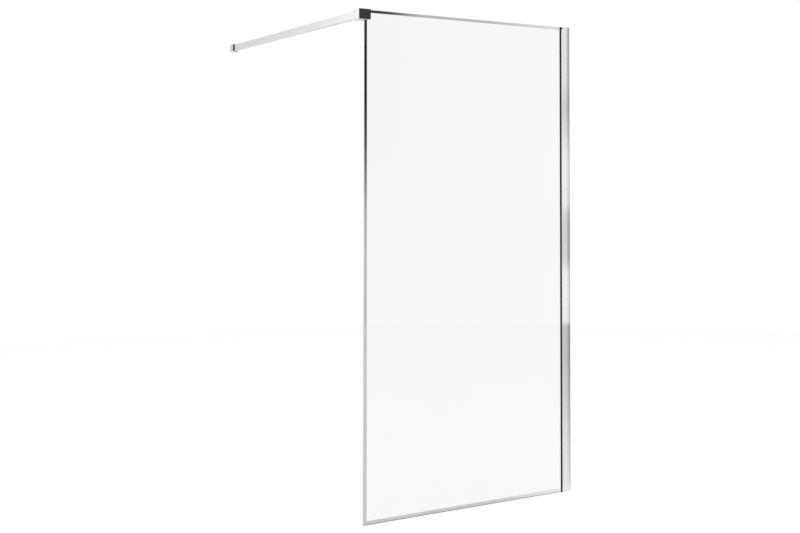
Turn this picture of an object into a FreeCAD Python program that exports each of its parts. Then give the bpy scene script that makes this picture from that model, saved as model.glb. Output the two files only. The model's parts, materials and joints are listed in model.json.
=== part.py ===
import FreeCAD, Part
import math
import os

from FreeCAD import Rotation, Vector

# A fixed walk-in shower screen. Millimetres, +Z up. The origin is on the side wall, at floor
# level, in the middle plane of the glass. The glass runs from the wall towards -X, and the
# support bar runs from its free top corner towards +Y, to the back wall.

# Overall sizes
screen_height = 2000.0          # floor to the top of the edge frame
screen_width = 1016.3           # side wall to the outer face of the free edge
wall_distance = 1292.0          # middle of the glass to the back wall

# Glass
glass_thickness = 6.0
glass_chamfer = 0.6

# Edge frame: like channels on the top, free and bottom edges
trim_face = 10.8                # width of the front leg, at the top and bottom
free_trim_face = 12.2           # width of the front leg, at the free edge
trim_rear_face = 5.5            # width of the rear leg, which the front leg hides
trim_wall = 1.0
trim_web = 1.2
trim_radius = 0.35
liner_thickness = 0.75
liner_lip = 0.2                 # how far the liner shows beyond the channel
butt_gap = 0.3                  # between the end of a channel and what it meets

# Seal under the bottom channel
seal_height = 3.8
seal_base = 1.9                 # height of its flat base
seal_lip = 1.4                  # thickness of each lip
seal_splay = 0.4                # how far each lip leans outwards

# Glass carrier, which slides in the wall profile
carrier_depth = 18.0
carrier_wall = 2.0
carrier_base = 2.0
carrier_end_gap = 1.0           # to the plugs in the profile's ends
gasket_thickness = 2.2
gasket_depth = 11.0
edge_block_thickness = 2.0
edge_block_length = 60.0
edge_block_count = 3
edge_block_margin = 300.0       # glass end to the middle of the first block
slide_gap = 0.3                 # each side of the carrier
head_room = 5.0                 # behind the carrier, for the heads of the wall screws

# Wall profile
profile_depth = 45.8            # of its front leg
profile_rear_depth = 38.5       # of its rear leg, which the front leg hides
profile_rise = 1.5              # above the edge frame
profile_side_wall = 3.5
profile_web = 3.0
profile_radius = 0.6
crown_length = 26.0             # stretch of each face that curves in to the wall
crown_drop = 2.4
wall_hole_radius = 2.75
wall_hole_count = 4
wall_hole_margin = 100.0        # profile end to the first hole

# Wiper seals in the mouth of the wall profile
wiper_foot_depth = 4.0
wiper_reach = 4.2               # how far the lip stands out of the mouth at the glass
wiper_edge = 0.4                # how far it stands out beside the profile
wiper_lip = 1.2                 # thickness of the lip at the glass
wiper_margin = 0.6              # edge of the profile that stays bare
wiper_gap = 0.2                 # between the lip and the glass
fit_gap = 0.1                   # between pieces that are clipped or pushed together

# Plugs in the ends of the wall profile
cap_thickness = 1.5
cap_rib_length = 8.0
cap_rib_thickness = 2.5
cap_nose_width = 5.0            # nose of the top plug, in a slot of the front leg's edge
cap_nose_height = 9.0
cap_nose_setback = 2.5          # below the profile's end

# Set screws that lock the carrier, and their covers
lock_screw_radius = 2.5
lock_screw_count = 3
lock_screw_margin = 150.0       # profile end to the first screw
lock_screw_recess = 0.2         # below the seat of its cover
lock_cap_radius = 5.5
lock_cap_seat = 0.8             # depth of the seat in the profile
lock_cap_proud = 0.6
lock_cap_round = 0.4
hexagon_share = 0.55            # hexagon socket across flats, of a screw's diameter
hexagon_depth_share = 0.5       # hexagon socket depth, of a screw's length
thread_gap = 0.05

# Corner clamp
clamp_height = 41.0
clamp_rise = 2.6                # above the edge frame
clamp_overhang = 26.9           # outside the free edge
clamp_grip = 26.3               # over the glass
clamp_front_jaw = 6.5
clamp_rear_jaw = 37.0
clamp_side_wall = 6.9           # between the bar's socket and the outer side
clamp_bottom_wall = 4.4         # under the bar's socket
clamp_socket_floor = 6.0
clamp_radius = 0.5
clamp_slot_gap = 0.8            # round the edges of the glass
pad_thickness = 1.5
pad_margin = 1.5
plate_thickness = 2.8
plate_gap = 0.2                 # between the pressure plate and the rear jaw
clamp_screw_radius = 3.0
clamp_screw_length = 20.0
clamp_screw_spacing = 17.0
grub_screw_radius = 2.5
grub_screw_spacing = 24.0
grub_screw_setback = 21.0       # from the back of the clamp
grub_screw_recess = 0.3

# Support bar
bar_width = 15.0
bar_height = 30.0
bar_wall = 1.5
bar_radius = 1.5
bar_bore_radius = 0.5
bar_gap = 0.2                   # in the clamp's socket and in the cover's window
bar_end_room = 10.0             # left in the socket for adjustment
bar_insert_length = 36.0

# Wall flange
cover_width = 26.4              # across the bar
cover_height = 37.4
cover_depth = 34.0
cover_wall = 2.0
cover_radius = 1.0
cover_gap = 0.3                 # round the wall plate
wall_plate_thickness = 4.0
tongue_length = 30.0
tongue_wall = 2.0
flange_hole_radius = 2.25
flange_hole_spacing = 15.0
flange_lock_radius = 2.5

# Places that several pieces share
glass_half = glass_thickness / 2
carrier_half = glass_half + gasket_thickness + carrier_wall
cavity_half = carrier_half + slide_gap
profile_half = cavity_half + profile_side_wall
carrier_back = -(profile_web + head_room)
carrier_front = carrier_back - carrier_depth
carrier_floor = carrier_back - carrier_base
carrier_low = cap_thickness + cap_rib_length + carrier_end_gap
profile_height = screen_height + profile_rise
carrier_high = profile_height - carrier_low
wiper_inner = glass_half + wiper_gap
lock_screw_x = carrier_front + lock_screw_radius + fit_gap
lock_cap_floor = profile_half - lock_cap_seat
cap_nose_top = profile_height - cap_nose_setback

liner_half = glass_half + liner_thickness
trim_half = liner_half + trim_wall
trim_end = -(profile_depth + wiper_reach) - butt_gap
glass_wall_edge = carrier_floor - edge_block_thickness
glass_free_edge = -(screen_width - trim_web - liner_thickness)
glass_top = screen_height - trim_web - liner_thickness
glass_bottom = seal_height + trim_web + liner_thickness

clamp_outer = -(screen_width + clamp_overhang)
clamp_inner = -(screen_width - clamp_grip)
clamp_top = screen_height + clamp_rise
clamp_bottom = clamp_top - clamp_height
slot_front = -(glass_half + pad_thickness)
clamp_front = slot_front - clamp_front_jaw
plate_back = glass_half + pad_thickness + plate_thickness
slot_back = plate_back + plate_gap
clamp_back = slot_back + clamp_rear_jaw
socket_floor = clamp_front + clamp_socket_floor
socket_side = clamp_outer + clamp_side_wall
clamp_screw_x = (glass_free_edge + clamp_inner) / 2
clamp_screw_level = (clamp_bottom + glass_top) / 2

bar_middle = socket_side + bar_gap + bar_width / 2
bar_level = clamp_bottom + clamp_bottom_wall + bar_gap + bar_height / 2
bar_front = socket_floor + bar_end_room
bar_back = wall_distance - wall_plate_thickness
bar_bottom = bar_level - bar_height / 2
bore_width = bar_width - 2 * bar_wall
bore_height = bar_height - 2 * bar_wall
flange_lock_y = bar_back - tongue_length / 2
flange_lock_length = bar_wall + tongue_wall


def block(x, y, z):
    """A box between two limits on each axis."""
    return Part.makeBox(x[1] - x[0], y[1] - y[0], z[1] - z[0], Vector(x[0], y[0], z[0]))


def around(middle, size):
    """The two limits of a size about its middle."""
    return (middle - size / 2, middle + size / 2)


def spread(low, high, count):
    """Evenly spaced places from one limit to another."""
    step = (high - low) / (count - 1)
    return [low + step * index for index in range(count)]


def edges_along(shape, direction):
    """The straight edges of a shape that run along a direction."""
    found = []
    for edge in shape.Edges:
        if len(edge.Vertexes) == 2 and edge.Curve.TypeId == "Part::GeomLine":
            if abs(edge.Curve.Direction.dot(direction)) > 0.999:
                found.append(edge)
    return found


def rounded_block(x, y, z, direction, radius):
    """A box whose edges along one direction are rounded."""
    shape = block(x, y, z)
    return shape.makeFillet(radius, edges_along(shape, direction))


def prism(corners, travel):
    """A flat outline drawn along a straight line."""
    return Part.Face(Part.makePolygon(corners + corners[:1])).extrude(travel)


def upright(outline, low, high):
    """An outline in plan, drawn up from one level to another."""
    return prism([Vector(x, y, low) for x, y in outline], Vector(0, 0, high - low))


def on_other_face(shape):
    """The same piece on the other face of the glass."""
    return shape.mirror(Vector(0, 0, 0), Vector(0, 1, 0))


def place(shape, point, direction):
    """A piece made along +Z, turned to a direction and set on a point."""
    moved = shape.copy()
    moved.Placement = FreeCAD.Placement(Vector(*point), Rotation(Vector(0, 0, 1), Vector(*direction)))
    return moved


def hole(radius, point, direction, depth):
    """A round cutter that starts at a point and runs along a direction."""
    return Part.makeCylinder(radius, depth, Vector(*point), Vector(*direction))


def set_screw(radius, length):
    """A headless screw along +Z with a hexagon socket in its upper end."""
    screw = Part.makeCylinder(radius, length)
    rims = [edge for edge in screw.Edges if edge.Curve.TypeId == "Part::GeomCircle"]
    screw = screw.makeChamfer(radius / 8, rims)
    corner = 2 * radius * hexagon_share / math.sqrt(3)
    depth = length * hexagon_depth_share
    turns = [math.radians(60 * step) for step in range(6)]
    outline = [(corner * math.cos(turn), corner * math.sin(turn)) for turn in turns]
    return screw.cut(upright(outline, length - depth, length + depth))


# Wall profile: an extruded channel that opens towards the glass, its front leg longer than the
# rear one. Each face is flat near the mouth and then curves in to the wall. The web has the wall
# screws' holes, the shower side has the threads of the set screws and the seats of their covers,
# and the front leg's edge has a slot for the top plug.

wall_hole_levels = spread(wall_hole_margin, screen_height - wall_hole_margin, wall_hole_count)
lock_screw_levels = spread(lock_screw_margin, screen_height - lock_screw_margin, lock_screw_count)


def crown_edge(side):
    """The curved stretch of the profile's outline on one side."""
    radius = (crown_length ** 2 + crown_drop ** 2) / (2 * crown_drop)
    half_length = crown_length / 2
    half_drop = radius - math.sqrt(radius ** 2 - half_length ** 2)
    start = Vector(-crown_length, side * profile_half, 0)
    middle = Vector(-half_length, side * (profile_half - half_drop), 0)
    end = Vector(0, side * (profile_half - crown_drop), 0)
    return Part.Arc(start, middle, end).toShape()


def wall_profile():
    back_half = profile_half - crown_drop
    mouth = [(0, -back_half), (0, back_half)]
    channel = [(-crown_length, profile_half), (-profile_rear_depth, profile_half),
               (-profile_rear_depth, cavity_half), (-profile_web, cavity_half),
               (-profile_web, -cavity_half), (-profile_depth, -cavity_half),
               (-profile_depth, -profile_half), (-crown_length, -profile_half)]
    edges = [crown_edge(1), crown_edge(-1)]
    for outline in (mouth, channel):
        corners = [Vector(x, y, 0) for x, y in outline]
        edges += [Part.makeLine(start, end) for start, end in zip(corners, corners[1:])]
    section = Part.Face(Part.Wire(Part.__sortEdges__(edges)))
    shape = section.extrude(Vector(0, 0, profile_height))

    def is_outer_corner(edge):
        at = edge.CenterOfMass
        return abs(at.y) > cavity_half + fit_gap and abs(at.x + crown_length) > fit_gap

    upright_edges = edges_along(shape, Vector(0, 0, 1))
    shape = shape.makeFillet(profile_radius, [edge for edge in upright_edges if is_outer_corner(edge)])
    for level in wall_hole_levels:
        start = (-profile_web - head_room / 2, 0, level)
        shape = shape.cut(hole(wall_hole_radius, start, (1, 0, 0), profile_web + head_room))
    for level in lock_screw_levels:
        thread_start = (lock_screw_x, cavity_half - slide_gap, level)
        seat_start = (lock_screw_x, lock_cap_floor, level)
        shape = shape.cut(hole(lock_screw_radius + thread_gap, thread_start, (0, 1, 0), profile_half))
        shape = shape.cut(hole(lock_cap_radius + fit_gap, seat_start, (0, 1, 0), profile_half))
    return shape.cut(block((-profile_depth - cap_nose_width, -profile_depth + cap_nose_width),
                           (-2 * profile_half, -cavity_half), (cap_nose_top - cap_nose_height, cap_nose_top)))


# Plugs that close the profile's ends: a plate in the cavity with a tongue between the two wiper
# seals, and a rib along each leg. The top one has a nose that snaps in the front leg's slot.

def profile_cap():
    plug_half = cavity_half - fit_gap
    tongue_half = wiper_inner - fit_gap
    front = wiper_foot_depth + fit_gap - profile_depth
    rear = wiper_foot_depth + fit_gap - profile_rear_depth
    back = -profile_web - fit_gap
    shape = block((-profile_rear_depth, back), (-tongue_half, tongue_half), (0, cap_thickness))
    rib_height = cap_thickness + cap_rib_length
    for end, side in ((front, -1), (rear, 1)):
        half_plate = block((end, back), sorted((0, side * plug_half)), (0, cap_thickness))
        rib_sides = sorted((side * plug_half, side * (plug_half - cap_rib_thickness)))
        shape = shape.fuse([half_plate, block((end, back), rib_sides, (0, rib_height))])
    return shape.removeSplitter()


def profile_top_cap():
    shape = profile_cap().mirror(Vector(0, 0, profile_height / 2), Vector(0, 0, 1))
    nose = block((-profile_depth, -profile_depth + cap_nose_width - fit_gap),
                 (-profile_half, -cavity_half + fit_gap),
                 (cap_nose_top - cap_nose_height + fit_gap, cap_nose_top - fit_gap))
    return shape.fuse(nose).removeSplitter()


# Wiper seals: a foot clipped in the mouth of each leg and a lip that slopes down to the glass.

def wiper_seal(depth):
    """The seal on the rear side, for a leg of a given depth."""
    foot = wiper_foot_depth - depth
    front = -depth - wiper_reach
    foot_half = cavity_half - fit_gap
    edge_half = profile_half - wiper_margin
    outline = [(foot, foot_half), (foot, wiper_inner), (front, wiper_inner),
               (front, wiper_inner + wiper_lip), (-depth - wiper_edge, edge_half),
               (-depth, edge_half), (-depth, foot_half)]
    return upright(outline, 0, screen_height)


# Set screws through the profile's shower side, whose points press on the carrier, and the
# round covers that hide them.

def profile_lock_screws():
    point = carrier_half + thread_gap
    screw = set_screw(lock_screw_radius, lock_cap_floor - lock_screw_recess - point)
    return Part.makeCompound([place(screw, (lock_screw_x, point, level), (0, 1, 0))
                              for level in lock_screw_levels])


def lock_screw_caps():
    height = lock_cap_seat + lock_cap_proud
    disc = Part.makeCylinder(lock_cap_radius, height)
    rim = [edge for edge in disc.Edges
           if edge.Curve.TypeId == "Part::GeomCircle" and edge.CenterOfMass.z > height / 2]
    cap = disc.makeFillet(lock_cap_round, rim)
    return Part.makeCompound([place(cap, (lock_screw_x, lock_cap_floor, level), (0, 1, 0))
                              for level in lock_screw_levels])


# Glass pane with polished edges, and the carrier channel on its wall edge with the glazing
# strips and setting blocks that hold it.

def glass_pane():
    shape = block((glass_free_edge, glass_wall_edge), (-glass_half, glass_half), (glass_bottom, glass_top))
    long_edges = edges_along(shape, Vector(1, 0, 0)) + edges_along(shape, Vector(0, 0, 1))
    return shape.makeChamfer(glass_chamfer, long_edges)


def glass_carrier():
    inner_half = carrier_half - carrier_wall
    levels = (carrier_low, carrier_high)
    outer = block((carrier_front, carrier_back), (-carrier_half, carrier_half), levels)
    slot = block((carrier_front - carrier_base, carrier_floor), (-inner_half, inner_half), levels)
    return outer.cut(slot)


def carrier_rear_gasket():
    return block((carrier_front, carrier_front + gasket_depth),
                 (glass_half, glass_half + gasket_thickness), (carrier_low, carrier_high))


def glass_edge_blocks():
    levels = spread(glass_bottom + edge_block_margin, glass_top - edge_block_margin, edge_block_count)
    return Part.makeCompound([block((glass_wall_edge, carrier_floor), (-glass_half, glass_half),
                                    around(level, edge_block_length)) for level in levels])


# Edge frame: slim channels on three edges of the glass, each over a thin liner, with a wide leg
# in front and a narrow one behind. The free and bottom channels meet at a mitre, and the others
# stop at the clamp and at the wiper seals.

def edge_channel(length, half, wall, web, leg, rear_leg, radius, mitre):
    """A channel along +X that opens upwards. A mitre is how far its first end leans along, for its height."""
    along = Vector(1, 0, 0)
    outer = block((0, length), (-half, half), (0, leg))
    if radius:
        low = [edge for edge in edges_along(outer, along) if edge.CenterOfMass.z < leg / 2]
        outer = outer.makeFillet(radius, low)
    shape = outer.cut(block((-leg, length + leg), (wall - half, half - wall), (web, 2 * leg)))
    shape = shape.cut(block((-leg, length + leg), (0, 2 * half), (rear_leg, 2 * leg)))
    if mitre:
        side = -half - leg
        lean = mitre * leg
        corners = [Vector(-lean, side, -leg), Vector(2 * lean, side, 2 * leg), Vector(-lean, side, 2 * leg)]
        shape = shape.cut(prism(corners, Vector(0, -2 * side, 0)))
    return shape


def trim(length, face, mitre):
    return edge_channel(length, trim_half, trim_wall, trim_web, face, trim_rear_face, trim_radius, mitre)


def liner(length, face, mitre):
    proud = liner_lip - trim_web
    return edge_channel(length, liner_half, liner_thickness, liner_thickness, face + proud,
                        trim_rear_face + proud, 0, mitre)


def on_bottom_edge(channel, inset):
    channel.translate(Vector(inset - screen_width, 0, seal_height + inset))
    return channel


def on_free_edge(channel, inset):
    turned = channel.mirror(Vector(0, 0, 0), Vector(1, 0, -1))
    turned.translate(Vector(inset - screen_width, 0, seal_height + inset))
    return turned


def on_top_edge(channel, inset):
    turned = channel.mirror(Vector(0, 0, 0), Vector(0, 0, 1))
    turned.translate(Vector(clamp_inner + butt_gap, 0, screen_height - inset))
    return turned


bottom_mitre = free_trim_face / trim_face
free_mitre = trim_face / free_trim_face
bottom_length = trim_end + screen_width
free_length = clamp_bottom - butt_gap - seal_height
top_length = trim_end - clamp_inner - butt_gap


# Seal under the bottom channel: a flat base and two soft lips that stand on the floor.

def bottom_seal():
    base_low = seal_height - seal_base
    tip_half = trim_half
    base_half = tip_half - seal_splay
    half_outline = [(base_half, seal_height), (base_half, base_low), (tip_half, 0),
                    (tip_half - seal_lip, 0), (base_half - seal_lip, base_low)]
    outline = half_outline + [(-y, z) for y, z in reversed(half_outline)]
    return prism([Vector(-screen_width, y, z) for y, z in outline], Vector(bottom_length, 0, 0))


# Corner clamp: a block with a slot for the corner of the glass and a socket for the bar. Two
# set screws in its rear jaw press a plate and a pad on the glass, and two grub screws in its
# outer side hold the bar.

clamp_screw_levels = around(clamp_screw_level, clamp_screw_spacing)
grub_screw_levels = around(bar_level, grub_screw_spacing)
grub_screw_y = clamp_back - grub_screw_setback


def clamp_body():
    outer = block((clamp_outer, clamp_inner), (clamp_front, clamp_back), (clamp_bottom, clamp_top))
    shape = outer.makeFillet(clamp_radius, outer.Edges)
    shape = shape.cut(block((glass_free_edge - clamp_slot_gap, clamp_inner + clamp_grip),
                            (slot_front, slot_back),
                            (clamp_bottom - clamp_height, glass_top + clamp_slot_gap)))
    shape = shape.cut(block(around(bar_middle, bar_width + 2 * bar_gap),
                            (socket_floor, clamp_back + bar_end_room),
                            around(bar_level, bar_height + 2 * bar_gap)))
    for level in clamp_screw_levels:
        start = (clamp_screw_x, slot_back - plate_gap, level)
        shape = shape.cut(hole(clamp_screw_radius + thread_gap, start, (0, 1, 0), clamp_back))
    for level in grub_screw_levels:
        start = (socket_side + bar_gap, grub_screw_y, level)
        shape = shape.cut(hole(grub_screw_radius + thread_gap, start, (-1, 0, 0), 2 * clamp_side_wall))
    return shape


def clamp_layer(front, back):
    """A flat layer in the clamp's slot, over the corner of the glass."""
    return block((glass_free_edge + pad_margin, clamp_inner - pad_margin), (front, back),
                 (clamp_bottom + pad_margin, glass_top - pad_margin))


def clamp_screws():
    screw = set_screw(clamp_screw_radius, clamp_screw_length)
    return Part.makeCompound([place(screw, (clamp_screw_x, plate_back, level), (0, 1, 0))
                              for level in clamp_screw_levels])


def bar_grub_screws():
    screw = set_screw(grub_screw_radius, clamp_side_wall - grub_screw_recess)
    return Part.makeCompound([place(screw, (socket_side, grub_screw_y, level), (-1, 0, 0))
                              for level in grub_screw_levels])


# Support bar: a rectangular tube with a plug behind the grub screws.

def support_bar():
    along = Vector(0, 1, 0)
    outer = rounded_block(around(bar_middle, bar_width), (bar_front, bar_back),
                          around(bar_level, bar_height), along, bar_radius)
    bore = rounded_block(around(bar_middle, bore_width), (bar_front - bar_wall, bar_back + bar_wall),
                         around(bar_level, bore_height), along, bar_bore_radius)
    lock_hole = hole(flange_lock_radius + thread_gap, (bar_middle, flange_lock_y, bar_bottom - bar_wall),
                     (0, 0, 1), 3 * bar_wall)
    return outer.cut(bore).cut(lock_hole)


def bore_filling(front, back):
    """A solid that fills the bar's bore between two places."""
    return rounded_block(around(bar_middle, bore_width - 2 * fit_gap), (front, back),
                         around(bar_level, bore_height - 2 * fit_gap), Vector(0, 1, 0), bar_bore_radius)


# Wall flange: a plate with a hollow tongue that fills the bar's end and holds the wall screws, the
# set screw that locks the bar on the tongue, and a cover that slides along the bar.

def flange_base():
    rim = 2 * (cover_wall + cover_gap)
    plate = block(around(bar_middle, cover_width - rim), (bar_back, wall_distance),
                  around(bar_level, cover_height - rim))
    shape = plate.fuse(bore_filling(bar_back - tongue_length, bar_back)).removeSplitter()
    walls = 2 * (fit_gap + tongue_wall)
    shape = shape.cut(block(around(bar_middle, bore_width - walls), (bar_back - 2 * tongue_length, bar_back),
                            around(bar_level, bore_height - walls)))
    for level in around(bar_level, flange_hole_spacing):
        start = (bar_middle, bar_back - wall_plate_thickness, level)
        shape = shape.cut(hole(flange_hole_radius, start, (0, 1, 0), 3 * wall_plate_thickness))
    return shape.cut(hole(flange_lock_radius + thread_gap, (bar_middle, flange_lock_y, bar_bottom),
                          (0, 0, 1), 2 * flange_lock_length))


def flange_lock_screw():
    screw = set_screw(flange_lock_radius, flange_lock_length)
    return place(screw, (bar_middle, flange_lock_y, bar_bottom + flange_lock_length), (0, 0, -1))


def flange_cover():
    front = wall_distance - cover_depth
    outer = block(around(bar_middle, cover_width), (front, wall_distance), around(bar_level, cover_height))
    free_edges = [edge for edge in outer.Edges if edge.CenterOfMass.y < wall_distance - cover_wall]
    cavity = block(around(bar_middle, cover_width - 2 * cover_wall),
                   (front + cover_wall, wall_distance + cover_wall),
                   around(bar_level, cover_height - 2 * cover_wall))
    window = rounded_block(around(bar_middle, bar_width + 2 * bar_gap), (front - cover_wall, wall_distance),
                           around(bar_level, bar_height + 2 * bar_gap), Vector(0, 1, 0), bar_radius)
    return outer.makeFillet(cover_radius, free_edges).cut(cavity).cut(window)


parts = {
    "wall_profile": wall_profile(),
    "profile_top_cap": profile_top_cap(),
    "profile_bottom_cap": profile_cap(),
    "front_wiper_seal": on_other_face(wiper_seal(profile_depth)),
    "rear_wiper_seal": wiper_seal(profile_rear_depth),
    "profile_lock_screws": profile_lock_screws(),
    "lock_screw_caps": lock_screw_caps(),
    "glass_pane": glass_pane(),
    "glass_carrier": glass_carrier(),
    "carrier_front_gasket": on_other_face(carrier_rear_gasket()),
    "carrier_rear_gasket": carrier_rear_gasket(),
    "glass_edge_blocks": glass_edge_blocks(),
    "top_trim": on_top_edge(trim(top_length, trim_face, 0), 0),
    "free_edge_trim": on_free_edge(trim(free_length, free_trim_face, free_mitre), 0),
    "bottom_trim": on_bottom_edge(trim(bottom_length, trim_face, bottom_mitre), 0),
    "top_trim_liner": on_top_edge(liner(top_length, trim_face, 0), trim_web),
    "free_edge_liner": on_free_edge(liner(free_length - trim_web, free_trim_face, free_mitre), trim_web),
    "bottom_trim_liner": on_bottom_edge(liner(bottom_length - trim_web, trim_face, bottom_mitre), trim_web),
    "bottom_seal": bottom_seal(),
    "clamp_body": clamp_body(),
    "clamp_front_pad": clamp_layer(slot_front, -glass_half),
    "clamp_rear_pad": clamp_layer(glass_half, glass_half + pad_thickness),
    "clamp_pressure_plate": clamp_layer(glass_half + pad_thickness, plate_back),
    "clamp_screws": clamp_screws(),
    "bar_grub_screws": bar_grub_screws(),
    "support_bar": support_bar(),
    "bar_front_insert": bore_filling(bar_front, bar_front + bar_insert_length),
    "flange_base": flange_base(),
    "flange_lock_screw": flange_lock_screw(),
    "flange_cover": flange_cover(),
}

os.makedirs("parts", exist_ok=True)
for name, shape in parts.items():
    shape.exportStep("parts/" + name + ".step")
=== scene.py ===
import json
import math

import bmesh
import bpy
from mathutils import Matrix, Vector

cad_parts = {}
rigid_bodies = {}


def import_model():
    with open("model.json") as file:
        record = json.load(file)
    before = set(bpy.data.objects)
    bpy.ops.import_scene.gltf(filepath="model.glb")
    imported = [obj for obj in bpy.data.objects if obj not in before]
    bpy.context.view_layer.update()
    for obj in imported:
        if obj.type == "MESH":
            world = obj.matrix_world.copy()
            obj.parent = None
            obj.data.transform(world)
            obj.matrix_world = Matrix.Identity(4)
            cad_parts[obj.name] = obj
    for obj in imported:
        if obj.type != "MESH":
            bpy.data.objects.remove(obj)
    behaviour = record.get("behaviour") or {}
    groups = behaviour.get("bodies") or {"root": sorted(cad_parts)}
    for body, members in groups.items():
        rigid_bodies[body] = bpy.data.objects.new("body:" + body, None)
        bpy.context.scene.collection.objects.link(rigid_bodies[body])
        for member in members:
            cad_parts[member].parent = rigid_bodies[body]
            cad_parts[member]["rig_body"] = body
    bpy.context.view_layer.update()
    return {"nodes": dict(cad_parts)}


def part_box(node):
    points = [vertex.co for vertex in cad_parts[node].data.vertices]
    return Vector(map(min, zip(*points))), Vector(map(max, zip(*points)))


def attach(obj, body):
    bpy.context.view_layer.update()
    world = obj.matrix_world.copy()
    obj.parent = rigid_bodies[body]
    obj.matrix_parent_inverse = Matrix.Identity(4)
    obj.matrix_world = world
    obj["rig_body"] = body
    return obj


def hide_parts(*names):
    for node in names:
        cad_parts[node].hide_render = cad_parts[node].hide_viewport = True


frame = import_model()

# A fixed walk-in shower screen, in metres and in the frame's own axes: the glass runs from the
# side wall towards -X, and the support bar from its free top corner towards +Y, to the back wall.


# Wall profile: an aluminium extrusion, polished and chromed, screwed to the side wall. Its front
# leg is longer than the rear one, and each face curves in to the wall. It has the wall screws'
# holes, the lock screws' threads and seats, and a slot in the front leg's edge for the top plug.

profile_low, profile_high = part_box("wall_profile")
profile_half = profile_high.y
profile_wall = 0.0035
profile_rear = -0.0385
profile_web = 0.003
profile_corner = 0.0006
crown_length = 0.026
crown_drop = 0.0024
crown_steps = 16
wall_hole_radius = 0.00275
wall_hole_margin = 0.1
wall_hole_count = 4
lock_screw_count = 3
nose_slot_width = 0.005
nose_slot_height = 0.009
nose_slot_setback = 0.0025
seat_gap = 0.0001
thread_gap = 0.00005
corner_steps = 4
round_sides = 48
crisp_edge = 0.0002
edge_steps = 2
sharp_angle = math.radians(35)
same_place = 1e-6


def spread(low, high, count):
    """Evenly spaced places from one limit to another."""
    if count == 1:
        return [(low + high) / 2]
    return [low + (high - low) * index / (count - 1) for index in range(count)]


def is_near(value, place):
    """Whether a value is at a place."""
    return abs(value - place) < same_place


def join_points(mesh, start, points):
    """Draws edges from a vertex through the points, and returns the new vertices."""
    drawn = [start]
    for point in points:
        drawn.append(mesh.verts.new(point))
        mesh.edges.new(drawn[-2:])
    return drawn[1:]


def draw_outline(mesh, travel):
    """Fills a closed outline, draws it along a straight line and closes its first end again."""
    outline = mesh.edges[:]
    face = bmesh.ops.edgeloop_fill(mesh, edges=outline)["faces"][0]
    far_end = bmesh.ops.extrude_discrete_faces(mesh, faces=[face])["faces"][0]
    bmesh.ops.translate(mesh, vec=travel, verts=far_end.verts[:])
    bmesh.ops.edgeloop_fill(mesh, edges=outline)
    bmesh.ops.recalc_face_normals(mesh, faces=mesh.faces)


def round_edges(mesh, edges, radius):
    """Rounds edges, each with a small arc."""
    bmesh.ops.bevel(mesh, geom=edges, offset=radius, offset_type="OFFSET", affect="EDGES",
                    segments=corner_steps, profile=0.5, material=-1, clamp_overlap=True)


def add_block(mesh, low, high):
    """Adds a box between two corners."""
    size = Vector(high) - Vector(low)
    middle = (Vector(low) + Vector(high)) / 2
    matrix = Matrix.Translation(middle) @ Matrix.Diagonal((*size, 1))
    bmesh.ops.create_cube(mesh, size=1, matrix=matrix)


def add_rod(mesh, radius, start, direction, length, sides=round_sides):
    """Adds a round or many-sided rod that starts at a point and runs along a direction."""
    turn = Vector((0, 0, 1)).rotation_difference(Vector(direction)).to_matrix().to_4x4()
    middle = Vector(start) + Vector(direction) * length / 2
    bmesh.ops.create_cone(mesh, cap_ends=True, segments=sides, radius1=radius, radius2=radius,
                          depth=length, matrix=Matrix.Translation(middle) @ turn)


def make_piece(name, mesh):
    """Turns a finished bmesh into an object."""
    data = bpy.data.meshes.new(name)
    mesh.to_mesh(data)
    mesh.free()
    piece = bpy.data.objects.new(name, data)
    bpy.context.scene.collection.objects.link(piece)
    return piece


def cut(piece, cutter):
    """Takes a cutter's shape out of a piece."""
    tool = make_piece("cutter", cutter)
    modifier = piece.modifiers.new("cut", "BOOLEAN")
    modifier.operation = "DIFFERENCE"
    modifier.solver = "EXACT"
    modifier.object = tool
    evaluated = piece.evaluated_get(bpy.context.evaluated_depsgraph_get())
    result = bpy.data.meshes.new_from_object(evaluated)
    piece.modifiers.clear()
    piece.data = result
    bpy.data.objects.remove(tool)


def soften_edges(piece, radius):
    """Rounds the sharp edges of a finished piece."""
    rounding = piece.modifiers.new("edge_rounding", "BEVEL")
    rounding.width = radius
    rounding.segments = edge_steps
    rounding.limit_method = "ANGLE"
    rounding.angle_limit = sharp_angle


def stand_for(piece, node, material, edge_radius=0.0):
    """Finishes a piece and puts it in a CAD node's place, on the node's body."""
    piece.data.materials.clear()
    piece.data.materials.append(material)
    piece.data.shade_smooth()
    piece.data.set_sharp_from_angle(angle=sharp_angle)
    if edge_radius:
        soften_edges(piece, edge_radius)
    normals = piece.modifiers.new("even_normals", "WEIGHTED_NORMAL")
    normals.keep_sharp = True
    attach(piece, frame["nodes"][node]["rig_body"])
    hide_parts(node)


def add_node(tree, kind, inputs, **settings):
    """Adds a shader node with its settings, and feeds its inputs with values or other outputs."""
    node = tree.nodes.new("ShaderNode" + kind)
    for name, value in settings.items():
        setattr(node, name, value)
    for name, value in inputs.items():
        if isinstance(value, bpy.types.NodeSocket):
            tree.links.new(value, node.inputs[name])
        else:
            node.inputs[name].default_value = value
    return node


def start_group(name, inputs, output):
    """Starts a shader node group with named number inputs and one number output."""
    group = bpy.data.node_groups.new(name, "ShaderNodeTree")
    for socket, value in inputs.items():
        kind = "NodeSocketVector" if isinstance(value, tuple) else "NodeSocketFloat"
        group.interface.new_socket(socket, in_out="INPUT", socket_type=kind).default_value = value
    group.interface.new_socket(output, in_out="OUTPUT", socket_type="NodeSocketFloat")
    return group, group.nodes.new("NodeGroupInput").outputs, group.nodes.new("NodeGroupOutput").inputs


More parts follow.
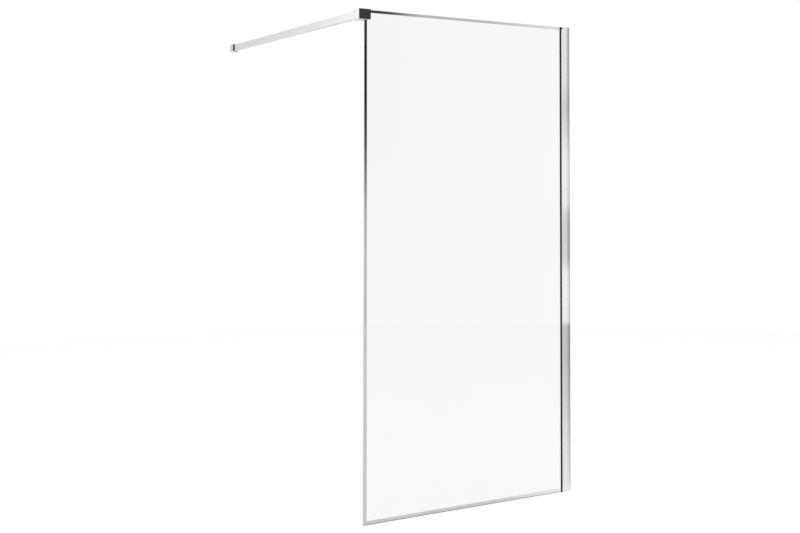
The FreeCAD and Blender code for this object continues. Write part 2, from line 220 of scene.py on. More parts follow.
def make_drawn_lines():
    """Fine lines that drawing or extruding leaves along a piece, from 0 to 1."""
    group, given, result = start_group("drawn_lines", {"Stretch": (1.0, 1.0, 1.0)}, "Lines")
    place = add_node(group, "TexCoord", {}).outputs["Object"]
    stretched = add_node(group, "VectorMath", {0: place, 1: given["Stretch"]}, operation="MULTIPLY")
    lines = add_node(group, "TexNoise", {"Vector": stretched.outputs[0], "Scale": 1.0, "Detail": 3.0})
    group.links.new(lines.outputs["Fac"], result["Lines"])
    return group


def make_handling_marks():
    """Cloudy marks that hands and wiping leave on a surface, from 0 to 1."""
    group, given, result = start_group("handling_marks", {"Scale": 20.0}, "Marks")
    place = add_node(group, "TexCoord", {}).outputs["Object"]
    cloud = add_node(group, "TexNoise", {"Vector": place, "Scale": given["Scale"], "Detail": 5.0,
                                         "Roughness": 0.6, "Distortion": 0.8})
    marks = add_node(group, "MapRange", {"Value": cloud.outputs["Fac"], "From Min": 0.42,
                                         "From Max": 0.72}, interpolation_type="SMOOTHSTEP")
    group.links.new(marks.outputs["Result"], result["Marks"])
    return group


drawn_lines = make_drawn_lines()
handling_marks = make_handling_marks()


def surface(name, clean, marked, smooth, rough, stretch, mark_scale, depth):
    """A material whose colour and roughness follow handling marks, with fine lines in its surface."""
    material = bpy.data.materials.new(name)
    material.use_nodes = True
    tree = material.node_tree
    shader = tree.nodes["Principled BSDF"]
    lines = add_node(tree, "Group", {}, node_tree=drawn_lines)
    lines.inputs["Stretch"].default_value = stretch
    marks = add_node(tree, "Group", {}, node_tree=handling_marks)
    marks.inputs["Scale"].default_value = mark_scale
    colour = add_node(tree, "Mix", {"Factor": marks.outputs["Marks"], "A": (*clean, 1), "B": (*marked, 1)},
                      data_type="RGBA")
    both = add_node(tree, "Math", {0: lines.outputs["Lines"], 1: marks.outputs["Marks"]}, operation="ADD")
    gloss = add_node(tree, "MapRange", {"Value": both.outputs[0], "From Max": 2.0, "To Min": smooth,
                                        "To Max": rough})
    relief = add_node(tree, "Bump", {"Height": lines.outputs["Lines"], "Distance": depth, "Strength": 1.0})
    tree.links.new(colour.outputs["Result"], shader.inputs["Base Color"])
    tree.links.new(gloss.outputs["Result"], shader.inputs["Roughness"])
    tree.links.new(relief.outputs["Normal"], shader.inputs["Normal"])
    return material, shader


def chrome(name, stretch):
    """Bright chrome plate on polished metal."""
    material, shader = surface(name, clean=(0.90, 0.90, 0.905), marked=(0.86, 0.865, 0.875), smooth=0.03,
                               rough=0.09, stretch=stretch, mark_scale=14.0, depth=4e-7)
    shader.inputs["Metallic"].default_value = 1.0
    return material


lines_across = 2500.0
lines_along = 5.0
chrome_upright = chrome("chrome_upright", (lines_across, lines_across, lines_along))

cavity_half = profile_half - profile_wall
crown_radius = (crown_length ** 2 + crown_drop ** 2) / (2 * crown_drop)
crown_turn = math.asin(crown_length / crown_radius)
profile = bmesh.new()


def draw_crown(side):
    """Draws a face's curve on one side of the glass, and returns its first and last vertices."""
    start = profile.verts.new((-crown_length, side * profile_half, 0))
    middle = (-crown_length, side * (profile_half - crown_radius), 0)
    curve = bmesh.ops.spin(profile, geom=[start], cent=middle, axis=(0, 0, 1), angle=-side * crown_turn,
                           steps=crown_steps)
    return start, [item for item in curve["geom_last"] if isinstance(item, bmesh.types.BMVert)][0]


front_start, front_end = draw_crown(-1)
rear_start, rear_end = draw_crown(1)
profile.edges.new((front_end, rear_end))
channel = join_points(profile, front_start,
                      [(profile_low.x, -profile_half, 0), (profile_low.x, -cavity_half, 0),
                       (-profile_web, -cavity_half, 0), (-profile_web, cavity_half, 0),
                       (profile_rear, cavity_half, 0), (profile_rear, profile_half, 0)])
profile.edges.new((channel[-1], rear_start))
draw_outline(profile, (0, 0, profile_high.z))


def is_profile_corner(edge):
    """Whether an edge runs up an outer corner, at the mouth or at the wall."""
    low, high = (vertex.co for vertex in edge.verts)
    at_mouth = is_near(abs(low.y), profile_half) and not is_near(low.x, -crown_length)
    return (at_mouth or is_near(low.x, 0)) and not is_near(low.z, high.z)


round_edges(profile, [edge for edge in profile.edges if is_profile_corner(edge)], profile_corner)
wall_profile = make_piece("wall_profile_extrusion", profile)

cap_low, cap_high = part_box("lock_screw_caps")
screw_low, screw_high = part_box("profile_lock_screws")
cap_radius = (cap_high.x - cap_low.x) / 2
lock_x = (cap_low.x + cap_high.x) / 2
lock_levels = spread(cap_low.z + cap_radius, cap_high.z - cap_radius, lock_screw_count)
lock_radius = (screw_high.x - screw_low.x) / 2
frame_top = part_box("top_trim")[1].z
holes = bmesh.new()
seats = bmesh.new()
for level in spread(wall_hole_margin, frame_top - wall_hole_margin, wall_hole_count):
    add_rod(holes, wall_hole_radius, (-2 * profile_web, 0, level), (1, 0, 0), 3 * profile_web)
for level in lock_levels:
    add_rod(holes, lock_radius + thread_gap, (lock_x, cavity_half - profile_wall, level), (0, 1, 0),
            3 * profile_wall)
    add_rod(seats, cap_radius + seat_gap, (lock_x, cap_low.y, level), (0, 1, 0), profile_wall)
nose_slot_top = profile_high.z - nose_slot_setback
add_block(seats, (profile_low.x - nose_slot_width, -2 * profile_half, nose_slot_top - nose_slot_height),
          (profile_low.x + nose_slot_width, -cavity_half, nose_slot_top))
cut(wall_profile, holes)
cut(wall_profile, seats)
stand_for(wall_profile, "wall_profile", chrome_upright, crisp_edge)


# Plugs in the profile's ends: moulded black plastic, each pushed into the cavity on two ribs. The
# top one's nose snaps in the front leg's slot. The solids have their shape, and get soft edges.

soft_edge = 0.0003
flat_angle = math.radians(1)


def plastic(name, clean, marked, smooth, rough):
    """Moulded plastic with a fine spark-eroded grain."""
    grain = 1800.0
    return surface(name, clean, marked, smooth, rough, stretch=(grain, grain, grain), mark_scale=30.0,
                   depth=2e-5)[0]


def carry_over(node, material, edge_radius=soft_edge):
    """Keeps a CAD node's solid, with its own finish and slightly softened edges."""
    piece = frame["nodes"][node]
    piece.material_slots[0].material = material
    weld = piece.modifiers.new("weld", "WELD")
    weld.merge_threshold = same_place
    flat = piece.modifiers.new("flat_faces", "DECIMATE")
    flat.decimate_type = "DISSOLVE"
    flat.angle_limit = flat_angle
    soften_edges(piece, edge_radius)


black_plastic = plastic("black_plastic", clean=(0.012, 0.012, 0.013), marked=(0.02, 0.02, 0.021),
                        smooth=0.4, rough=0.6)
for node in ("profile_top_cap", "profile_bottom_cap"):
    carry_over(node, black_plastic)


# Wiper seals: extruded strips of black rubber, clipped in the mouth of the profile's two legs. The
# lip slopes from the edge of the leg to the glass.

wiper_lip = 0.0012
wiper_edge = 0.0004
wiper_round = 0.00018
die_lines_across = 1500.0
die_lines_along = 12.0


def rubber(name, clean, marked, smooth, rough, stretch):
    """Extruded rubber or soft plastic with faint die lines."""
    return surface(name, clean, marked, smooth, rough, stretch, mark_scale=40.0, depth=6e-6)


black_rubber, black_shader = rubber("black_rubber", clean=(0.008, 0.008, 0.0085),
                                    marked=(0.014, 0.014, 0.0145), smooth=0.45, rough=0.7,
                                    stretch=(die_lines_across, die_lines_across, die_lines_along))
black_shader.inputs["Specular IOR Level"].default_value = 0.25


def wiper_seal(name, node, side, mouth):
    """A strip on one side of the glass, in the mouth of that side's leg."""
    low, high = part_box(node)
    inner, outer = sorted((abs(low.y), abs(high.y)))
    foot_half = cavity_half - seat_gap
    outline = [(high.x, inner), (low.x, inner), (low.x, inner + wiper_lip), (mouth - wiper_edge, outer),
               (mouth, outer), (mouth, foot_half)]
    mesh = bmesh.new()
    start = mesh.verts.new((high.x, side * foot_half, 0))
    drawn = join_points(mesh, start, [(x, side * y, 0) for x, y in outline])
    mesh.edges.new((drawn[-1], start))
    draw_outline(mesh, (0, 0, high.z))
    stand_for(make_piece(name, mesh), node, black_rubber, wiper_round)


wiper_seal("front_wiper_strip", "front_wiper_seal", -1, profile_low.x)
wiper_seal("rear_wiper_strip", "rear_wiper_seal", 1, profile_rear)


# Lock screws and their covers: steel set screws with a hexagon socket, threaded through the
# profile's shower side on to the glass carrier, each under a small pressed-in chrome cover.

socket_share = 0.55
socket_depth_share = 0.5
socket_sides = 6
rim_share = 0.125
cover_round = 0.0004

turned_grain = 900.0
steel, steel_shader = surface("steel", clean=(0.56, 0.56, 0.57), marked=(0.45, 0.45, 0.46), smooth=0.2,
                              rough=0.4, stretch=(turned_grain, turned_grain, turned_grain),
                              mark_scale=60.0, depth=5e-6)
steel_shader.inputs["Metallic"].default_value = 1.0


def set_screws(name, node, direction, count):
    """Headless screws in a CAD node's place, their sockets towards a direction, spread upwards."""
    low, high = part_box(node)
    direction = Vector(direction)
    along = [index for index in range(3) if direction[index]][0]
    across = 0 if along else 1
    radius = (high[across] - low[across]) / 2
    length = high[along] - low[along]
    point = (low + high) / 2
    point[along] = low[along] if direction[along] > 0 else high[along]
    if along != 2:
        levels = spread(low.z + radius, high.z - radius, count)
    else:
        levels = [point.z]
    screws = bmesh.new()
    sockets = bmesh.new()
    depth = length * socket_depth_share
    corner = 2 * radius * socket_share / math.sqrt(3)
    for level in levels:
        start = Vector((point.x, point.y, level))
        add_rod(screws, radius, start, direction, length)
        add_rod(sockets, corner, start + direction * (length - depth), direction, 2 * depth, socket_sides)
    rims = [edge for edge in screws.edges if is_near(edge.verts[0].co[along], edge.verts[1].co[along])]
    round_edges(screws, rims, radius * rim_share)
    piece = make_piece(name, screws)
    cut(piece, sockets)
    stand_for(piece, node, steel)


set_screws("lock_set_screws", "profile_lock_screws", (0, 1, 0), lock_screw_count)

polish_grain = 900.0
chrome_block = chrome("chrome_block", (polish_grain, polish_grain, polish_grain))
covers = bmesh.new()
for level in lock_levels:
    add_rod(covers, cap_radius, (lock_x, cap_low.y, level), (0, 1, 0), cap_high.y - cap_low.y)
cover_rims = [edge for edge in covers.edges
              if all(is_near(vertex.co.y, cap_high.y) for vertex in edge.verts)]
round_edges(covers, cover_rims, cover_round)
stand_for(make_piece("lock_screw_covers", covers), "lock_screw_caps", chrome_block)


# Glass carrier: a mill-finish aluminium channel over the wall edge of the glass, which slides in
# the wall profile. Two glazing strips and three setting blocks hold the glass in it.

mill_aluminium, mill_shader = surface("mill_aluminium", clean=(0.72, 0.73, 0.74),
                                      marked=(0.62, 0.63, 0.64), smooth=0.28, rough=0.45,
                                      stretch=(1200.0, 1200.0, 3.0), mark_scale=25.0, depth=1e-5)
mill_shader.inputs["Metallic"].default_value = 1.0
carry_over("glass_carrier", mill_aluminium)
for node in ("carrier_front_gasket", "carrier_rear_gasket"):
    carry_over(node, black_rubber)
grey_plastic = plastic("grey_plastic", clean=(0.55, 0.56, 0.57), marked=(0.48, 0.49, 0.5), smooth=0.38,
                       rough=0.55)
carry_over("glass_edge_blocks", grey_plastic)


# Glass pane: clear toughened glass with polished, chamfered edges. It is very faintly tinted and
# has the slight wave that the rollers of the furnace leave.

glass_clean = (0.945, 0.945, 0.945, 1)
glass_marked = (0.94, 0.942, 0.94, 1)
glass_mark_scale = 6.0
glass_index = 1.45
wave_scale = 3.0
wave_depth = 2e-5

glass = bpy.data.materials.new("clear_glass")
glass.use_nodes = True
tree = glass.node_tree
glass_shader = tree.nodes["Principled BSDF"]
glass_marks = add_node(tree, "Group", {}, node_tree=handling_marks)
glass_marks.inputs["Scale"].default_value = glass_mark_scale
glass_tint = add_node(tree, "Mix", {"Factor": glass_marks.outputs["Marks"], "A": glass_clean,
                                    "B": glass_marked}, data_type="RGBA")
glass_place = add_node(tree, "TexCoord", {}).outputs["Object"]
roller_wave = add_node(tree, "TexNoise", {"Vector": glass_place, "Scale": wave_scale, "Detail": 1.0})
glass_relief = add_node(tree, "Bump", {"Height": roller_wave.outputs["Fac"], "Distance": wave_depth})
tree.links.new(glass_tint.outputs["Result"], glass_shader.inputs["Base Color"])
tree.links.new(glass_relief.outputs["Normal"], glass_shader.inputs["Normal"])
glass_shader.inputs["Transmission Weight"].default_value = 1.0
glass_shader.inputs["Roughness"].default_value = 0.0
glass_shader.inputs["IOR"].default_value = glass_index
glass_pane = frame["nodes"]["glass_pane"]
glass_pane.material_slots[0].material = glass
glass_pane.visible_shadow = False


# Edge frame: slim chromed channels on the top, free and bottom edges of the glass, each pushed
# over a grey soft liner. The front leg is wider than the rear one, most of all at the free edge,
# and the free and bottom channels meet at a mitre.

channel_wall = 0.001
channel_web = 0.0012
channel_corner = 0.00035
channel_rear_leg = 0.0055
liner_wall = 0.0007
liner_rear_leg = 0.0045
liner_grain = 900.0
fine_edge = 0.00015
channel_section = {"rear_leg": channel_rear_leg, "wall": channel_wall, "web": channel_web,
                   "corner": channel_corner}
liner_section = {"rear_leg": liner_rear_leg, "wall": liner_wall, "web": liner_wall, "corner": 0.0}

chrome_level = chrome("chrome_level", (lines_along, lines_across, lines_across))
grey_liner = rubber("grey_liner", clean=(0.28, 0.28, 0.285), marked=(0.34, 0.34, 0.345), smooth=0.4,
                    rough=0.6, stretch=(liner_grain, liner_grain, liner_grain))[0]


def edge_channel(length, half, leg, mitre, rear_leg, wall, web, corner):
    """A channel along +X that opens upwards. The mitre is its first end's lean, for its height."""
    mesh = bmesh.new()
    start = mesh.verts.new((0, -half, 0))
    inner = half - wall
    drawn = join_points(mesh, start, [(0, -half, leg), (0, -inner, leg), (0, -inner, web), (0, inner, web),
                                      (0, inner, rear_leg), (0, half, rear_leg), (0, half, 0)])
    mesh.edges.new((drawn[-1], start))
    draw_outline(mesh, (length, 0, 0))

    def is_outer_corner(edge):
        """Whether an edge runs along a corner of the channel's back."""
        first, last = (vertex.co for vertex in edge.verts)
        return is_near(abs(first.y), half) and is_near(first.z, 0) and not is_near(first.x, last.x)

    if corner:
        round_edges(mesh, [edge for edge in mesh.edges if is_outer_corner(edge)], corner)
    for vertex in mesh.verts:
        if is_near(vertex.co.x, 0):
            vertex.co.x = mitre * vertex.co.z
    return mesh


on_top = Matrix.Scale(-1, 4, Vector((0, 0, 1)))
on_free_edge = Matrix.Scale(-1, 4, Vector((1, 0, -1)).normalized())
on_bottom = Matrix.Identity(4)


def edge_piece(name, node, turn, mitre, section, material, edge_radius):
    """A channel or a liner in a CAD node's place, turned to its edge of the glass."""
    low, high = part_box(node)
    size = high - low
    upright = turn is on_free_edge
    length = size.z if upright else size.x
    leg = size.x if upright else size.z
    mesh = edge_channel(length, high.y, leg, mitre, **section)
    corner = Vector((low.x, 0, high.z if turn is on_top else low.z))
    bmesh.ops.transform(mesh, matrix=Matrix.Translation(corner) @ turn, verts=mesh.verts)
    bmesh.ops.recalc_face_normals(mesh, faces=mesh.faces)
    stand_for(make_piece(name, mesh), node, material, edge_radius)


free_low, free_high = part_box("free_edge_trim")
bottom_low, bottom_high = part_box("bottom_trim")
bottom_mitre = (free_high.x - free_low.x) / (bottom_high.z - bottom_low.z)
free_mitre = 1 / bottom_mitre
liners = (("top_liner_strip", "top_trim_liner", on_top, 0),
          ("free_liner_strip", "free_edge_liner", on_free_edge, free_mitre),
          ("bottom_liner_strip", "bottom_trim_liner", on_bottom, bottom_mitre))
for name, node, turn, mitre in liners:
    edge_piece(name, node, turn, mitre, liner_section, grey_liner, crisp_edge)
channels = (("top_edge_channel", "top_trim", on_top, 0, chrome_level),
            ("free_edge_channel", "free_edge_trim", on_free_edge, free_mitre, chrome_upright),
            ("bottom_edge_channel", "bottom_trim", on_bottom, bottom_mitre, chrome_level))
for name, node, turn, mitre, finish in channels:
    edge_piece(name, node, turn, mitre, channel_section, finish, fine_edge)


# Seal under the bottom channel: soft plastic with a silver-grey skin, extruded, with a flat base
# on the channel and two lips that splay to the floor.

seal_base = 0.0019
seal_lip = 0.0014
seal_splay = 0.0004
seal_round = 0.0004
grey_seal, grey_shader = rubber("grey_seal", clean=(0.54, 0.545, 0.55), marked=(0.49, 0.495, 0.5),
                                smooth=0.16, rough=0.26,
                                stretch=(die_lines_along, die_lines_across, die_lines_across))
grey_shader.inputs["Metallic"].default_value = 0.85

seal_low, seal_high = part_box("bottom_seal")
base_half = seal_high.y - seal_splay
base_low = seal_high.z - seal_base
lip_outline = [(base_half, base_low), (seal_high.y, 0), (seal_high.y - seal_lip, 0),
               (base_half - seal_lip, base_low)]
seal_outline = lip_outline + [(-y, z) for y, z in reversed(lip_outline)] + [(-base_half, seal_high.z)]
seal = bmesh.new()
seal_start = seal.verts.new((seal_low.x, base_half, seal_high.z))
seal_points = join_points(seal, seal_start, [(seal_low.x, y, z) for y, z in seal_outline])
seal.edges.new((seal_points[-1], seal_start))
draw_outline(seal, (seal_high.x - seal_low.x, 0, 0))
stand_for(make_piece("floor_seal_strip", seal), "bottom_seal", grey_seal, seal_round)


# Corner clamp: a solid chromed brass block, milled with a slot for the corner of the glass and a
# socket for the bar, with rounded edges. Pads and a steel plate grip the glass inside it.

clamp_corner = 0.0005
clamp_slot_gap = 0.0008
plate_gap = 0.0002
socket_floor = 0.006
bar_gap = 0.0002
clamp_screw_count = 2
grub_screw_count = 2

clamp_low, clamp_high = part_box("clamp_body")
glass_low, glass_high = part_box("glass_pane")
pad_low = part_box("clamp_front_pad")[0]
plate_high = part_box("clamp_pressure_plate")[1]
bar_low, bar_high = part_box("support_bar")
clamp_screw_low, clamp_screw_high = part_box("clamp_screws")
grub_low, grub_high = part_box("bar_grub_screws")

clamp = bmesh.new()
add_block(clamp, clamp_low, clamp_high)
round_edges(clamp, clamp.edges[:], clamp_corner)
clamp_block = make_piece("clamp_block", clamp)

slot_cutter = bmesh.new()
add_block(slot_cutter, (glass_low.x - clamp_slot_gap, pad_low.y, clamp_low.z - clamp_corner),
          (clamp_high.x + clamp_corner, plate_high.y + plate_gap, glass_high.z + clamp_slot_gap))
cut(clamp_block, slot_cutter)
socket_cutter = bmesh.new()
add_block(socket_cutter, (bar_low.x - bar_gap, clamp_low.y + socket_floor, bar_low.z - bar_gap),
          (bar_high.x + bar_gap, clamp_high.y + clamp_corner, bar_high.z + bar_gap))
cut(clamp_block, socket_cutter)
screw_cutter = bmesh.new()
clamp_screw_radius = (clamp_screw_high.x - clamp_screw_low.x) / 2
clamp_screw_x = (clamp_screw_low.x + clamp_screw_high.x) / 2
for level in spread(clamp_screw_low.z + clamp_screw_radius, clamp_screw_high.z - clamp_screw_radius,
                    clamp_screw_count):
    add_rod(screw_cutter, clamp_screw_radius + thread_gap, (clamp_screw_x, plate_high.y, level), (0, 1, 0),
            clamp_high.y)
grub_radius = (grub_high.y - grub_low.y) / 2
grub_y = (grub_low.y + grub_high.y) / 2
for level in spread(grub_low.z + grub_radius, grub_high.z - grub_radius, grub_screw_count):
    add_rod(screw_cutter, grub_radius + thread_gap, (bar_low.x, grub_y, level), (-1, 0, 0),
            2 * (bar_low.x - clamp_low.x))
cut(clamp_block, screw_cutter)
stand_for(clamp_block, "clamp_body", chrome_block, crisp_edge)

for node in ("clamp_front_pad", "clamp_rear_pad"):
    carry_over(node, black_rubber)
carry_over("clamp_pressure_plate", steel)
set_screws("clamp_set_screws", "clamp_screws", (0, 1, 0), clamp_screw_count)
set_screws("bar_set_screws", "bar_grub_screws", (-1, 0, 0), grub_screw_count)


# Support bar: a rectangular chromed tube in the clamp's socket, with a plastic plug behind the
# grub screws and a hole underneath for the screw that locks it on the wall plate's tongue.

bar_wall = 0.0015
bar_corner = 0.0015
bar_bore_corner = 0.0005
chrome_bar = chrome("chrome_bar", (lines_across, lines_along, lines_across))

lock_low, lock_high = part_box("flange_lock_screw")


def is_lengthwise(edge):
    """Whether an edge runs along the bar."""
    return not is_near(edge.verts[0].co.y, edge.verts[1].co.y)


bar = bmesh.new()
add_block(bar, bar_low, bar_high)
round_edges(bar, [edge for edge in bar.edges if is_lengthwise(edge)], bar_corner)
support_tube = make_piece("support_tube", bar)
bore = bmesh.new()
inset = Vector((bar_wall, -bar_wall, bar_wall))
add_block(bore, bar_low + inset, bar_high - inset)
round_edges(bore, [edge for edge in bore.edges if is_lengthwise(edge)], bar_bore_corner)
cut(support_tube, bore)
lock_hole = bmesh.new()
flange_lock_radius = (lock_high.x - lock_low.x) / 2
lock_middle = (lock_low + lock_high) / 2
add_rod(lock_hole, flange_lock_radius + thread_gap, (lock_middle.x, lock_middle.y, bar_low.z - bar_wall),
        (0, 0, 1), 3 * bar_wall)
cut(support_tube, lock_hole)
stand_for(support_tube, "support_bar", chrome_bar, crisp_edge)
carry_over("bar_front_insert", grey_plastic)


# Wall flange: an aluminium plate with a hollow tongue that fills the bar's end and holds the wall
# screws, the set screw that locks the bar on it, and a chromed box that slides over them.

cover_wall = 0.002
cover_corner = 0.001

carry_over("flange_base", mill_aluminium, crisp_edge)
set_screws("flange_set_screw", "flange_lock_screw", (0, 0, -1), 1)

box_low, box_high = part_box("flange_cover")
box = bmesh.new()
add_block(box, box_low, box_high)
round_edges(box, [edge for edge in box.edges
                  if not all(is_near(vertex.co.y, box_high.y) for vertex in edge.verts)], cover_corner)
flange_box = make_piece("flange_box", box)
cavity = bmesh.new()
cavity_inset = Vector((cover_wall, cover_wall, cover_wall))
add_block(cavity, box_low + cavity_inset, box_high + Vector((-cover_wall, cover_wall, -cover_wall)))
cut(flange_box, cavity)
window = bmesh.new()
window_gap = Vector((bar_gap, 0, bar_gap))
add_block(window, Vector((bar_low.x, box_low.y - cover_wall, bar_low.z)) - window_gap,
          Vector((bar_high.x, box_low.y + 2 * cover_wall, bar_high.z)) + window_gap)
round_edges(window, [edge for edge in window.edges if is_lengthwise(edge)], bar_corner)
cut(flange_box, window)
stand_for(flange_box, "flange_cover", chrome_block, fine_edge)


# Floor and studio: a plain pale floor in a white room, under one large soft lamp. What the chrome
# mirrors is painted reflection: a soft studio with two dark screens and a floor that greys with distance,
# in tones that only mirrored rays see.

floor_radius = 6.2
floor_sides = 96
floor_tone = 0.95
floor_shadow = 0.1
room_light = 0.85


def grey(tone):
    """An even grey."""
    return (tone, tone, tone, 1)


def tone_ramp(tree, value, stops):
    """Greys along a value, from stops that each give a place and its tone."""
    low = stops[0][0]
    high = stops[-1][0]
    share = add_node(tree, "MapRange", {"Value": value, "From Min": low, "From Max": high})
    ramp = add_node(tree, "ValToRGB", {"Fac": share.outputs["Result"]})
    elements = ramp.color_ramp.elements
    elements.remove(elements[0])
    for index, (place, tone) in enumerate(stops):
        position = (place - low) / (high - low)
        element = elements[0] if index == 0 else elements.new(position)
        element.position = position
        element.color = grey(tone)
    return ramp.outputs["Color"]


def smooth_step(tree, value, start, end):
    """0 before start and 1 after end, smooth between them."""
    return add_node(tree, "MapRange", {"Value": value, "From Min": start, "From Max": end},
                    interpolation_type="SMOOTHSTEP").outputs["Result"]


def calculate(tree, operation, first, second):
    """The result of a math operation on two values."""
    return add_node(tree, "Math", {0: first, 1: second}, operation=operation).outputs[0]


def between(tree, value, rise, fall):
    """1 from the end of a rise to the start of a fall, and 0 outside them."""
    risen = smooth_step(tree, value, *rise)
    not_fallen = smooth_step(tree, value, *reversed(fall))
    return calculate(tree, "MULTIPLY", risen, not_fallen)


def blend(tree, share, first, second, kind="MIX"):
    """A mix of two colours, by the second one's share."""
    return add_node(tree, "Mix", {"Factor": share, "A": first, "B": second}, data_type="RGBA",
                    blend_type=kind).outputs["Result"]


def heading_of(tree, point):
    """Degrees round the vertical, from the front to the right, the level distance and the height."""
    apart = add_node(tree, "SeparateXYZ", {0: point}).outputs
    to_front = calculate(tree, "MULTIPLY", apart["Y"], -1.0)
    turn = calculate(tree, "ARCTAN2", apart["X"], to_front)
    level = add_node(tree, "CombineXYZ", {"X": apart["X"], "Y": apart["Y"]}).outputs[0]
    reach = add_node(tree, "VectorMath", {0: level}, operation="LENGTH").outputs["Value"]
    return calculate(tree, "MULTIPLY", turn, 180 / math.pi), reach, apart["Z"]


def mirror_rays(tree, path):
    """1 for rays that a shiny surface mirrors, and 0 for those that pass through glass."""
    not_through = calculate(tree, "SUBTRACT", 1.0, path["Is Transmission Ray"])
    return calculate(tree, "MULTIPLY", path["Is Glossy Ray"], not_through)


white = grey(1)
floor = bmesh.new()
bmesh.ops.create_circle(floor, cap_ends=True, segments=floor_sides, radius=floor_radius)
floor_piece = make_piece("floor", floor)
pale_floor = bpy.data.materials.new("pale_floor")
pale_floor.use_nodes = True
tree = pale_floor.node_tree
tree.nodes.clear()
path = add_node(tree, "LightPath", {}).outputs
heading, reach, _ = heading_of(tree, add_node(tree, "TexCoord", {}).outputs["Object"])

# Painted reflection of the floor, seen only by mirrored rays: tones by distance in metres, left and right
# of the front, with painted shade far to the right and a paler floor behind to the left.
left_stops = [(0.0, 0.94), (0.05, 0.92), (0.2, 0.76), (0.4, 0.61), (0.9, 0.6), (1.4, 0.57),
              (floor_radius, 0.57)]
right_stops = [(0.0, 0.9), (0.2, 0.84), (1.0, 0.8), (2.1, 0.67), (3.1, 0.63), (4.0, 0.57),
               (floor_radius, 0.57)]
front_to_right = (15.0, 33.0)
painted_floor_shade_tone = 0.35
painted_floor_shade_turn = (38.0, 60.0)
painted_floor_shade_start = 0.5
painted_floor_shade_end = 3.0
painted_floor_shade_near = 0.55
behind_left = 0.8
behind_left_turn = (-110.0, -140.0)
left_tone = tone_ramp(tree, reach, left_stops)
right_tone = tone_ramp(tree, reach, right_stops)
painted_floor_reflection = blend(tree, smooth_step(tree, heading, *front_to_right), left_tone, right_tone)
distant = add_node(tree, "MapRange", {"Value": reach, "From Min": painted_floor_shade_start, "From Max": painted_floor_shade_end,
                                      "To Min": painted_floor_shade_near})
painted_floor_shade = calculate(tree, "MULTIPLY", smooth_step(tree, heading, *painted_floor_shade_turn), distant.outputs["Result"])
painted_floor_reflection = blend(tree, painted_floor_shade, painted_floor_reflection, grey(painted_floor_shade_tone), "MULTIPLY")
to_back = smooth_step(tree, heading, *behind_left_turn)
painted_floor_reflection = blend(tree, to_back, painted_floor_reflection, grey(behind_left))
# The floor glows evenly white for the camera and through glass, and shows the painted reflection tones to
# mirrored rays.
floor_glow_and_painted_reflection = add_node(tree, "Emission", {"Color": blend(tree, mirror_rays(tree, path), white, painted_floor_reflection)})
matt = add_node(tree, "BsdfDiffuse", {"Color": grey(floor_tone)})
seen = calculate(tree, "MAXIMUM", path["Is Camera Ray"], path["Is Transmission Ray"])
seen = calculate(tree, "MAXIMUM", seen, path["Is Glossy Ray"])
share = calculate(tree, "MULTIPLY", seen, 1 - floor_shadow)
mixed = add_node(tree, "MixShader", {"Fac": share, 1: matt.outputs[0], 2: floor_glow_and_painted_reflection.outputs[0]})
add_node(tree, "OutputMaterial", {"Surface": mixed.outputs[0]})
floor_piece.data.materials.append(pale_floor)

studio = bpy.data.worlds.new("white_studio")
bpy.context.scene.world = studio
studio.use_nodes = True
tree = studio.node_tree
path = add_node(tree, "LightPath", {}).outputs
heading, level_length, rise = heading_of(tree, add_node(tree, "TexCoord", {}).outputs["Generated"])
slope = calculate(tree, "DIVIDE", rise, level_length)

# Painted reflection, seen only by mirrored rays: tones round the room, by heading in degrees.
room_stops = [(-180, 0.62), (-165, 0.70), (-157.5, 0.74), (-154.7, 0.81), (-152.5, 0.93), (-151, 1.06),
              (-120, 1.0), (-90, 0.7), (-60, 0.92), (-30, 0.66), (0, 0.8), (20, 0.6), (32, 0.55),
              (35.5, 0.56), (37, 0.69), (38.4, 0.9), (39, 1.05), (40.5, 1.02), (46, 0.88), (51, 0.79),
              (56, 0.7), (63, 0.35), (90, 0.6), (120, 0.9), (150.5, 0.8), (151.6, 0.66), (153.8, 0.68),
              (155, 0.8), (180, 0.62)]
painted_room_tones = tone_ramp(tree, heading, room_stops)

# Painted reflection: level bands of painted shade on the right-hand wall, by slope, and a paler room below
# level behind to the left.
right_wall_start = (36.5, 38.5)
right_wall_end = (80.0, 100.0)
below_level = (-0.01, -0.15)
band_stops = [(-0.2, 1.0), (-0.071, 1.0), (-0.062, 0.75), (-0.024, 0.74), (-0.012, 1.0), (0.025, 1.0),
              (0.05, 0.85), (0.072, 0.7), (0.092, 0.9), (0.2, 0.9)]
painted_wall_bands = tone_ramp(tree, slope, band_stops)
on_right = between(tree, heading, right_wall_start, right_wall_end)
painted_banded_room = blend(tree, on_right, painted_room_tones, painted_wall_bands, "MULTIPLY")
low_at_back = calculate(tree, "MULTIPLY", smooth_step(tree, heading, *behind_left_turn),
                        smooth_step(tree, slope, *below_level))
painted_banded_room = blend(tree, low_at_back, painted_banded_room, grey(behind_left))

# Painted shade: where these painted bands are dark, they darken further to the right.
painted_patch_tone = 0.7
patch_turn = (39.0, 56.0)
patch_stops = [(-0.2, 0.0), (-0.071, 0.0), (-0.062, 1.0), (-0.024, 1.0), (-0.012, 0.0), (0.025, 0.0),
               (0.05, 0.7), (0.072, 1.0), (0.2, 1.0)]
painted_shade_patches = tone_ramp(tree, slope, patch_stops)
patch_share = calculate(tree, "MULTIPLY", painted_shade_patches, smooth_step(tree, heading, *patch_turn))
painted_banded_room = blend(tree, patch_share, painted_banded_room, grey(painted_patch_tone), "MULTIPLY")
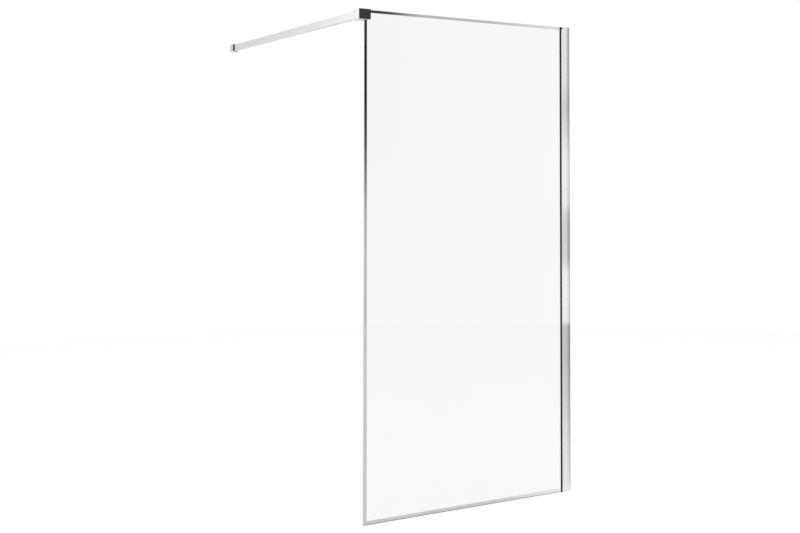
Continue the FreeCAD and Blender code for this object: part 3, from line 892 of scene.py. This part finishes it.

# Painted reflection: two dark screens, left and right of the front, darkest in a level band, and the
# bright ceiling.
screen_stops = [(-0.2, 0.043), (0.065, 0.043), (0.085, 0.015), (0.125, 0.015), (0.145, 0.043),
                (0.2, 0.043)]
screen_start = (10.0, 16.0)
screen_end = (30.0, 32.0)
screen_rise = (-0.055, 0.06)
ceiling_rise = (0.5, 1.2)
screen_tones = tone_ramp(tree, slope, screen_stops)
aside = calculate(tree, "ABSOLUTE", heading, 0.0)
screen_sides = between(tree, aside, screen_start, screen_end)
painted_dark_screens = calculate(tree, "MULTIPLY", screen_sides, smooth_step(tree, slope, *screen_rise))
painted_screened_room = blend(tree, painted_dark_screens, painted_banded_room, screen_tones)
painted_studio_reflection = blend(tree, smooth_step(tree, slope, *ceiling_rise), painted_screened_room, white)

# White behind the object and through glass, the painted reflections for mirrored rays, and plain light on
# everything else.
behind = calculate(tree, "MAXIMUM", path["Is Camera Ray"], path["Is Transmission Ray"])
plain = blend(tree, behind, grey(room_light), white)
tree.links.new(blend(tree, mirror_rays(tree, path), plain, painted_studio_reflection), tree.nodes["Background"].inputs["Color"])

lamp_size = 6.0
lamp_power = 170.0
lamp_place = (-0.5, 0.0, 6.0)
lamp_data = bpy.data.lights.new("soft_lamp", "AREA")
lamp_data.size = lamp_size
lamp_data.energy = lamp_power
lamp = bpy.data.objects.new("soft_lamp", lamp_data)
lamp.location = lamp_place
lamp.visible_glossy = False
scene = bpy.context.scene
scene.collection.objects.link(lamp)
scene.view_settings.view_transform = "Standard"


# Camera: at the photograph's viewing angle, in front of the glass and left of its free edge. It is
# tilted up by about one degree, and a shift frames the object.

camera_place = (-3.1843, -3.9153, 1.3022)
camera_tilt = 91.18
camera_turn = -30.788
camera_lens = 51.754
camera_shift = -0.12712
sensor_width = 36.0
camera_data = bpy.data.cameras.new("camera")
camera_data.lens = camera_lens
camera_data.sensor_width = sensor_width
camera_data.shift_y = camera_shift
camera = bpy.data.objects.new("camera", camera_data)
camera.location = camera_place
camera.rotation_euler = (math.radians(camera_tilt), 0, math.radians(camera_turn))
scene.collection.objects.link(camera)
scene.camera = camera
